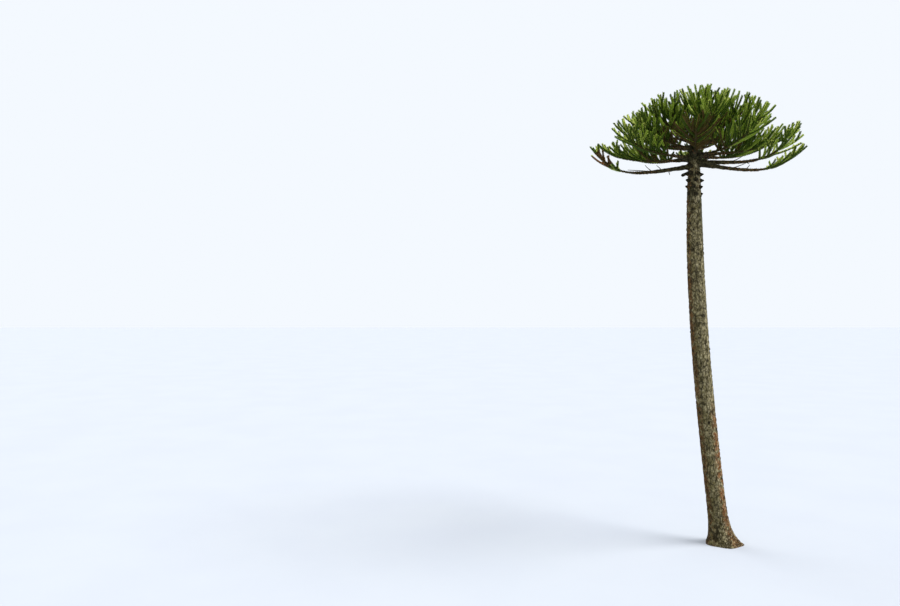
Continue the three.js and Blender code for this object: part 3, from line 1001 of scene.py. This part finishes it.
def grain(tree, given):
    """Fine relief: small cells with a finer noise over them."""
    place = add_node(tree, "TexCoord")["Object"]
    cells = add_node(tree, "TexVoronoi", {"Vector": place, "Scale": given["Scale"]})["Distance"]
    fine = add_node(tree, "TexNoise", {"Vector": place, "Scale": 160, "Detail": 3})["Fac"]
    heights = {"Factor": given["Fine Share"], "A": cells, "B": fine}
    return {"Height": add_node(tree, "Mix", heights, data_type="FLOAT")["Result"]}


def fissures(tree, given):
    """Fine cracks between small plates, drawn out upwards: 1 in a crack and 0 on a plate."""
    place = drawn_place(tree, given["Stretch"])
    drift = add_node(tree, "TexNoise", {"Vector": place, "Scale": 16, "Detail": 3})["Color"]
    warp = {0: drift, 1: (0.05, 0.05, 0.05), 2: place}
    warped = add_node(tree, "VectorMath", warp, operation="MULTIPLY_ADD")["Vector"]
    spots = {"Vector": warped, "Scale": given["Scale"]}
    edges = add_node(tree, "TexVoronoi", spots, feature="DISTANCE_TO_EDGE")["Distance"]
    return {"Mask": fade(tree, edges, 0.0, given["Width"], 1.0, 0.0)}


def zone(tree, given):
    """A mask that fades in over a range of a given value, broken up by patches of noise."""
    rise = fade(tree, given["Value"], given["Low"], given["High"])
    return {"Mask": add_node(tree, "Math", {0: rise, 1: given["Patches"]}, operation="MULTIPLY")[0]}


WHITE, BLACK = (1, 1, 1, 1), (0, 0, 0, 1)
PATCHES = {"Colour A": WHITE, "Colour B": BLACK, "Scale": 1.0, "Low": 0.4, "High": 0.6, "Stretch": (1, 1, 1)}
MOTTLE = node_group("mottle", PATCHES, mottle)
GRAIN = node_group("grain", {"Scale": 40.0, "Fine Share": 0.4}, grain)
FISSURES = node_group("fissures", {"Scale": 20.0, "Width": 0.1, "Stretch": (1, 1, 0.5)}, fissures)
ZONE = node_group("zone", {"Value": 0.0, "Low": 0.0, "High": 1.0, "Patches": 1.0}, zone)


class Finish:
    """A material in the making. Most of its methods add a node and hand on what the node puts out."""

    def __init__(self, name, roughness, specular):
        self.material = bpy.data.materials.new(name)
        self.material.use_nodes = True
        self.tree = self.material.node_tree
        self.shader = self.tree.nodes["Principled BSDF"].inputs
        self.shader["Roughness"].default_value = roughness
        self.shader["Specular IOR Level"].default_value = specular

    def feed(self, name, source):
        self.tree.links.new(source, self.shader[name])

    def group(self, group, **values):
        """The outputs of a group. An underscore in the name of a value stands for a space."""
        inputs = {key.replace("_", " "): value for key, value in values.items()}
        return add_node(self.tree, "Group", inputs, node_tree=group)

    def mix(self, mask, first, second):
        """Two colours mixed by a mask."""
        inputs = {"Factor": mask, "A": first, "B": second}
        return add_node(self.tree, "Mix", inputs, data_type="RGBA")["Result"]

    def note(self, name):
        return add_node(self.tree, "Attribute", attribute_name=name)["Fac"]

    def remap(self, source, low, high, from_high=1.0):
        """A value that runs from low where the source is 0 to high where it is from_high."""
        inputs = {"Value": source, "From Min": 0.0, "From Max": from_high, "To Min": low, "To Max": high}
        return add_node(self.tree, "MapRange", inputs)["Result"]

    def tint(self, colour, mask, strength, tint):
        """A colour with another laid over it, as strongly as a mask says."""
        return self.mix(self.remap(mask, 0, strength), colour, tint)

    def bump(self, *reliefs):
        """Bumps on one another: each has its height from 0 to 1, and how far that lifts the surface."""
        below = {}
        for height, distance in reliefs:
            inputs = {"Height": height, "Distance": distance, **below}
            below = {"Normal": add_node(self.tree, "Bump", inputs)["Normal"]}
        self.feed("Normal", below["Normal"])


# The trunk's bark: layers of colour, each over the last. Each has the attributes that limit it, with the
# range over which it fades in, how strong it gets, the scale of its patches, the stretch of noise over which
# a patch fades in, and how much a patch is drawn out upwards, where less is longer
BARK_LAYERS = [
    (paint(50, 43, 18), [], 0.75, 13, (0.44, 0.68), 0.4),
    # Light streaky patches that grow towards +X: partly the bark's own light patches, partly painted light
    # from the right
    (paint(186, 174, 136), [("side", -0.75, 0.75)], 0.85, 19, (0.47, 0.66), 0.24),
    (paint(70, 80, 54), [("side", 0.1, 0.8), ("height", 7.4, 9.2)], 0.6, 6, (0.42, 0.58), 1),
    (paint(96, 62, 28), [("side", -0.55, -0.95)], 0.85, 8, (0.38, 0.54), 1),
    (paint(136, 84, 46), [("side", 0.0, 0.45), ("height", 4.4, 3.2)], 0.85, 7, (0.37, 0.53), 1),
    (paint(44, 37, 16), [("height", 1.3, 0.2)], 0.85, 7, (0.42, 0.58), 1),
    # Darker up towards the crown: painted shadow of the crown on the upper trunk
    (paint(32, 34, 14), [("height", 8.9, 10.4)], 0.85, 5, (0.42, 0.58), 1),
    (paint(196, 182, 146), [("side", -1.0, 0.2)], 0.6, 36, (0.52, 0.64), 0.16),
]
PLATE_COLOURS = {"Colour_A": paint(116, 107, 70), "Colour_B": paint(154, 144, 108)}
DARK_PLATE = paint(90, 80, 46)
FISSURE_COLOUR = paint(40, 33, 14)
CRACK_COLOUR = paint(34, 29, 14)
# Painted shade in the scars' pits
PIT_SHADE_COLOUR = paint(26, 22, 12)


def trunk_bark():
    """Olive plates under layers of streaks and patches, with painted light on the +X side and a painted
    shadow under the crown among them, and dark fissures and cracks and painted shade in the scars' pits over
    all.
    """
    bark = Finish("trunk bark", roughness=0.94, specular=0.12)
    broad = bark.group(MOTTLE, Scale=9, Low=0.4, High=0.6, **PLATE_COLOURS)
    colour = bark.tint(broad["Colour"], bark.note("plate"), 0.55, DARK_PLATE)
    for tint, limits, strength, scale, (low, high), stretch in BARK_LAYERS:
        mask = bark.group(MOTTLE, Scale=scale, Low=low, High=high, Stretch=(1, 1, stretch))["Mask"]
        for name, start, end in limits:
            mask = bark.group(ZONE, Value=bark.note(name), Low=start, High=end, Patches=mask)["Mask"]
        colour = bark.tint(colour, mask, strength, tint)
    cracks = bark.group(FISSURES, Scale=19, Width=0.1)["Mask"]
    colour = bark.tint(colour, cracks, 0.65, FISSURE_COLOUR)
    colour = bark.mix(bark.remap(bark.note("crack"), 0.85, 0, from_high=0.8), colour, CRACK_COLOUR)
    # The pits get near-black painted shade
    bark.feed("Base Color", bark.tint(colour, bark.note("pit"), 0.95, PIT_SHADE_COLOUR))
    relief = bark.group(GRAIN, Scale=60, Fine_Share=0.5)["Height"]
    bark.bump((bark.remap(cracks, 1, 0), 0.012), (relief, 0.01))
    return bark.material


def rough_wood(name, dark, light, scale):
    """Dark bark with lighter patches and a coarse grain."""
    wood = Finish(name, roughness=0.92, specular=0.12)
    patches = wood.group(MOTTLE, Colour_A=dark, Colour_B=light, Scale=scale, Low=0.36, High=0.7)
    cracks = wood.group(FISSURES, Scale=scale * 3, Width=0.14, Stretch=(1, 1, 1))["Mask"]
    wood.feed("Base Color", wood.tint(patches["Colour"], cracks, 0.75, paint(20, 17, 8)))
    relief = wood.group(GRAIN, Scale=90, Fine_Share=0.4)["Height"]
    wood.bump((wood.remap(cracks, 1, 0), 0.006), (relief, 0.006))
    return wood.material


def leaf_material(name, colour, lighter):
    """Leathery leaves: one plain colour with a lighter bloom in small flecks, and a satin gloss."""
    leaf = Finish(name, roughness=0.5, specular=0.05)
    flecks = leaf.group(MOTTLE, Colour_A=colour, Colour_B=lighter, Scale=42, Low=0.4, High=0.7)
    leaf.feed("Base Color", flecks["Colour"])
    leaf.feed("Roughness", leaf.remap(flecks["Mask"], 0.42, 0.62))
    return leaf.material


def snow_material():
    """Settled snow: white with patches of a faintly bluer white, and grainy."""
    snow = Finish("snow", roughness=0.6, specular=0.4)
    colours = {"Colour_A": paint(240, 244, 250), "Colour_B": paint(222, 230, 242)}
    snow.feed("Base Color", snow.group(MOTTLE, Scale=18, Low=0.4, High=0.7, **colours)["Colour"])
    snow.bump((snow.group(GRAIN, Scale=120, Fine_Share=0.6)["Height"], 0.002))
    return snow.material


def floor_material():
    """A pale floor, with hardly any change of colour over it."""
    floor = Finish("pale floor", roughness=0.9, specular=0.1)
    colours = {"Colour_A": paint(174, 178, 184), "Colour_B": paint(172, 176, 183)}
    floor.feed("Base Color", floor.group(MOTTLE, Scale=0.3, Low=0.3, High=0.7, **colours)["Colour"])
    return floor.material


# The foliage: its colours, each with the lighter one of its flecks, and the pairs of them that a shoot's
# upper and lower leaves may have in the crown's shaded heart, round it, and in the light. The darker pairs
# in the heart and round it are painted shade, partly also older browner leaves, and the brighter pairs at
# the top and rim are painted light
LEAF_SHADES = {
    "bright": (paint(184, 198, 76), paint(224, 228, 146)),
    "olive": (paint(124, 150, 38), paint(156, 176, 76)),
    "deep": (paint(50, 74, 8), paint(76, 98, 28)),
    "brown": (paint(66, 52, 18), paint(98, 78, 40)),
    "dead": (paint(124, 76, 38), paint(160, 114, 64)),
}
HEART_SHADE_SPRAYS = [("deep", "brown"), ("deep", "deep"), ("olive", "brown")]
MIDDLE_SHADE_SPRAYS = [("olive", "deep"), ("deep", "deep"), ("olive", "olive")]
OUTER_LIT_SPRAYS = [("bright", "olive"), ("olive", "deep"), ("bright", "deep")]
TOP_LIT_SPRAYS = [("bright", "olive"), ("bright", "deep"), ("bright", "olive"), ("olive", "olive")]
# A leaf whose outward direction rises less than this is a lower leaf: the lower leaves take the darker
# colour of a shoot's pair as painted shade, the upper ones the lighter as painted light
UNDERSIDE = 0.1
HEART_RUN = 1.3
HEART_TOP = 11.75
HEART_KEPT = 0.75
MIDDLE_RUN = 1.6
TOP_LAYER = 0.45
TOP_START = 12.0

# The bough that points at the camera, whose foliage the photo shows in the shade
FRONT_MASS = "skirt_6"

# Leaves along a stem: how far out they stand, how many to a metre, and how large
STEM_LEAVES = (0.022, 110, 0.9)

# The first low bough's curl of dead leaves, and the stretch of it that its shoots have left
CURL_BOUGH = "low_1"
CURL_PLACE = (-3.36, 10.93)
CURL_RADIUS = 0.27
BARE_STRETCH = 0.35

SNOW_SHARE = 0.014
SNOW_LENGTH = (0.05, 0.12)
SNOW_LIFT = 0.024
SNOW_WIDTH = 0.02
SNOW_PROFILE = (0.35, 0.85, 1.0, 0.9, 0.4)
SNOW_SIDES = 6
SNOW_FLATNESS = 0.5
STEEPEST_SNOW = 0.7


def in_heart(line):
    """Whether a shoot grows in the crown's shaded heart, near the trunk and under the upper boughs."""
    return run_from_trunk(line.start) < HEART_RUN and line(0.5)[2] < HEART_TOP


def deal_spray(line, mass, rng):
    """The colours of a shoot's upper and lower leaves, by where in the crown it grows: darker pairs as
    painted shade in the heart, on the front bough and under the top layer near the trunk, and brighter pairs
    as painted light at the top and rim.
    """
    middle = line(0.5)
    below = middle[2] < dome_height(run_from_trunk(middle)) - TOP_LAYER
    # Painted shade in the heart and on the front bough, painted light at the top and rim
    if in_heart(line) or mass.name == FRONT_MASS:
        sprays = HEART_SHADE_SPRAYS
    elif below and run_from_trunk(line.start) < MIDDLE_RUN:
        sprays = MIDDLE_SHADE_SPRAYS
    else:
        sprays = TOP_LIT_SPRAYS if middle[2] > TOP_START else OUTER_LIT_SPRAYS
    return sprays[rng.integers(len(sprays))]


def in_curl(mass, places):
    """Which of some places on a mass lie in the first low bough's curl."""
    away = np.hypot(places[:, 0] - CURL_PLACE[0], places[:, 2] - CURL_PLACE[1])
    return (away < CURL_RADIUS) & (mass.name == CURL_BOUGH)


def sort_leaves(store, values, choices):
    """Adds a spray's leaves to its tier's store. Each choice is a shade and which of the leaves have it."""
    for shade, chosen in choices:
        if chosen.any():
            store["leaves"].setdefault(shade, []).append(leaves(*(value[chosen] for value in values)))


def kept_shoots(mass, rng):
    """A mass's shoots, thinned in the crown's heart and gone from the first low bough's bare stretch."""
    shoots = []
    for line in mass.shoots + mass.fine_shoots:
        thinned = in_heart(line) and rng.uniform() > HEART_KEPT
        bare = mass.name == CURL_BOUGH and line.start[0] > mass.stem(BARE_STRETCH)[0]
        if not thinned and not bare:
            shoots.append(line)
    return shoots


def build_foliage(masses, materials):
    """The twigs and the leaves of every tier, with each shoot's leaves in the colours dealt to it."""
    rng = np.random.default_rng(SEED + 1)
    tiers = {}
    for mass in masses:
        store = tiers.setdefault(mass.tier, {"nodes": [], "twigs": [], "leaves": {}})
        store["nodes"].append(f"foliage_{mass.name}")
        stem_radii = np.linspace(BOUGH_END_RADIUS, STEM_TIP_RADIUS, STEM_RINGS + 1)
        store["twigs"].append(tube(mass.stem, STEM_RINGS, STEM_SIDES, stem_radii))
        values, _ = spray(mass.stem, rng, *STEM_LEAVES)
        dead = in_curl(mass, values[0])
        sort_leaves(store, values, [("dead", dead), ("brown", ~dead)])
        core_radii = CORE_RADIUS * np.linspace(1, CORE_TAPER, CORE_RINGS + 1)
        mass.kept = kept_shoots(mass, rng)
        for line in mass.kept:
            store["twigs"].append(tube(line, CORE_RINGS, CORE_SIDES, core_radii))
            values, below = spray(line, rng, CORE_RADIUS * LEAF_ROOT)
            dead = in_curl(mass, values[0])
            # Painted light and shade: the upper leaves take the lighter colour, the lower leaves the darker
            # one, and in the curl the lower dead leaves a darker brown
            upper, lower = deal_spray(line, mass, rng)
            curled = [("dead", dead & ~below), ("brown", dead & below)]
            sort_leaves(store, values, curled + [(upper, ~below & ~dead), (lower, below & ~dead)])
    pieces = []
    for tier, store in tiers.items():
        made = [joined_piece(f"twigs_{tier}", store["twigs"], materials["twig"])]
        for shade, parts in store["leaves"].items():
            made.append(joined_piece(f"leaves_{tier}_{shade}", parts, materials[shade]))
        for piece in made:
            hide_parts(*store["nodes"])
        pieces += made
    return pieces


def build_snow(masses, material):
    """Thin caps of snow on top of a few leaning shoots."""
    rng = np.random.default_rng(SEED + 2)
    parts = []
    for mass in masses:
        for line in mass.kept:
            forward = tangent(line, 0.5)
            if rng.uniform() > SNOW_SHARE or forward[2] > STEEPEST_SNOW:
                continue
            above = around(forward, 0)
            length = rng.uniform(*SNOW_LENGTH)
            middle = line(0.5) + above * SNOW_LIFT
            cap = straight(middle - forward * length / 2, middle + forward * length / 2)
            radii = SNOW_WIDTH * np.array(SNOW_PROFILE)
            vertices, faces = tube(cap, len(radii) - 1, SNOW_SIDES, radii)
            drop = (vertices - middle) @ above
            parts.append((vertices - np.outer(drop * SNOW_FLATNESS, above), faces))
    return joined_piece("snow_caps", parts, material)


# Thin dead twigs on the low boughs: the bough, the share of its reach where the twig starts, how much it
# heads on, up and aside, its length and how much it turns up
DEAD_TWIGS = [
    ("low_1", 0.37, (1.0, 0.16, 0.1), 0.82, 0.0),
    ("low_1", 0.31, (0.7, 0.9, 0.3), 0.24, -0.4),
    ("low_1", 0.4, (1.0, 0.8, -0.3), 0.3, 0.5),
    ("low_1", 0.25, (-0.25, -1.0, 0.1), 0.15, 0.0),
    ("low_1", 0.52, (0.8, -0.5, 0.6), 0.14, 0.2),
    ("low_2", 0.35, (1.0, 0.4, 0.5), 0.4, 0.4),
    ("low_2", 0.5, (0.9, -0.5, -0.5), 0.2, 0.0),
    ("low_3", 0.33, (1.0, 0.3, -0.4), 0.5, 0.3),
    ("low_3", 0.47, (0.7, 0.8, 0.4), 0.22, 0.0),
]
DEAD_TWIG_RADII = (0.016, 0.013, 0.012, 0.01, 0.008)
DEAD_TWIG_SIDES = 5

# Dead leaves left on the limbs: how many to a metre, and how large
LIMB_REMNANTS = (70, 0.9)
LIMB_REMNANT_ROOT = 0.7

# Dead leaves left on the trunk, among the limbs and just below them
TRUNK_REMNANTS = 160
TRUNK_REMNANT_ROOT = 0.97
REMNANT_HEIGHTS = (10.1, TRUNK_HEIGHT - 0.3)
REMNANT_RISE = (-0.3, 0.5)
REMNANT_LENGTH = (0.025, 0.055)


def build_dead_twigs(boughs, material):
    by_name = {bough.name: bough for bough in boughs}
    parts = []
    for name, at, (on, up, aside), length, lift in DEAD_TWIGS:
        line = bough_line(by_name[name], 0, 1)
        forward = tangent(line, at)
        heading = unit(forward * on + UP * up + np.cross(UP, forward) * aside)
        twig = Shoot(line(at), heading, length, lift)
        parts.append(tube(twig, len(DEAD_TWIG_RADII) - 1, DEAD_TWIG_SIDES, DEAD_TWIG_RADII))
    return joined_piece("dead_twigs", parts, material)


def build_remnants(boughs, material):
    """Dead leaves that still stand on the limbs and round the trunk just below the crown."""
    rng = np.random.default_rng(SEED + 3)
    parts = []
    for bough in boughs:
        first = trunk_radius(bough.root[2]) / bough.reach
        line = bough_line(bough, first, bough.bare)
        values, _ = spray(line, rng, bough.radius * LIMB_REMNANT_ROOT, *LIMB_REMNANTS)
        parts.append(leaves(*values))
    height = rng.uniform(*REMNANT_HEIGHTS, TRUNK_REMNANTS)
    turn = rng.uniform(0, TAU, TRUNK_REMNANTS)
    radial = turned(turn, EAST, NORTH)
    axis = np.array([trunk_axis(value) for value in height])
    bases = axis + radial * (trunk_radius(height) * TRUNK_REMNANT_ROOT)[:, None]
    rise = rng.uniform(*REMNANT_RISE, TRUNK_REMNANTS)
    directions = turned(rise, radial, UP)
    asides = turned(turn, NORTH, -EAST)
    lengths = rng.uniform(*REMNANT_LENGTH, TRUNK_REMNANTS)
    parts.append(leaves(bases, directions, asides, lengths, lengths / 2))
    return joined_piece("dead_leaves", parts, material)


# Floor, light and camera
FLOOR_SIZE = 400
CAMERA_PLACE = (-7.72, -22.8, 6.84)
CAMERA_LENS = 32
CAMERA_REACH = 500
SOFTNESS = math.radians(35)
SUNS = [("key light", (9, -2, 13), 3.5), ("back light", (-9, 10, 12), 1.0)]


def build_studio():
    bpy.ops.mesh.primitive_plane_add(size=FLOOR_SIZE, location=(0, 0, 0))
    floor = bpy.context.object
    floor.name = floor.data.name = "floor"
    floor.data.materials.append(floor_material())
    bpy.ops.object.select_all(action="DESELECT")
    world = bpy.data.worlds.new("pale sky")
    world.use_nodes = True
    world.node_tree.nodes["Background"].inputs["Color"].default_value = paint(244, 249, 255)
    bpy.context.scene.world = world
    for name, place, strength in SUNS:
        light = bpy.data.lights.new(name, "SUN")
        light.angle = SOFTNESS
        light.energy = strength
        lamp = bpy.data.objects.new(name, light)
        lamp.rotation_euler = Vector(place).to_track_quat("Z", "Y").to_euler()
        bpy.context.scene.collection.objects.link(lamp)


def build_camera():
    """The photograph's viewing angle: level, from the tree's front left."""
    camera = bpy.data.cameras.new("camera")
    camera.lens = CAMERA_LENS
    camera.clip_end = CAMERA_REACH
    stand = bpy.data.objects.new("camera", camera)
    stand.location = CAMERA_PLACE
    stand.rotation_euler = (math.pi / 2, 0, 0)
    bpy.context.scene.collection.objects.link(stand)
    bpy.context.scene.camera = stand
    bpy.context.scene.view_settings.view_transform = "Standard"


# The whole tree

build_camera()
build_studio()
furrows = relief_texture("limb furrows", "VORONOI", 0.035)
lumps = relief_texture("limb lumps", "CLOUDS", 0.12)
wood = rough_wood("limb bark", paint(34, 31, 16), paint(84, 80, 52), 14)
dark_wood = rough_wood("stub wood", paint(30, 26, 14), paint(66, 60, 38), 20)
leaf_materials = {"twig": rough_wood("twig bark", paint(56, 50, 26), paint(84, 80, 42), 40)}
for name, colours in LEAF_SHADES.items():
    leaf_materials[name] = leaf_material(f"{name} leaves", *colours)

boughs, masses = grow_crown()
whorls = plan_whorls()


def place(piece, slot, *nodes):
    """Lets a piece ride with the tree and take the place of the nodes it hides. The slot is not used."""
    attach(piece, "root")
    if nodes:
        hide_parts(*nodes)


place(build_trunk(whorls, trunk_bark()), "bark", "trunk")
place(build_stubs(whorls, [(furrows, 0.012)], dark_wood), "bark", "trunk")
for bough in boughs:
    place(build_limb(bough, [(furrows, 0.014), (lumps, 0.02)], wood), "limb", f"bough_{bough.name}")
place(build_dead_twigs(boughs, wood), "limb")
for piece in build_foliage(masses, leaf_materials):
    place(piece, "foliage")
place(build_remnants(boughs, leaf_materials["dead"]), "foliage")
place(build_snow(masses, snow_material()), None)
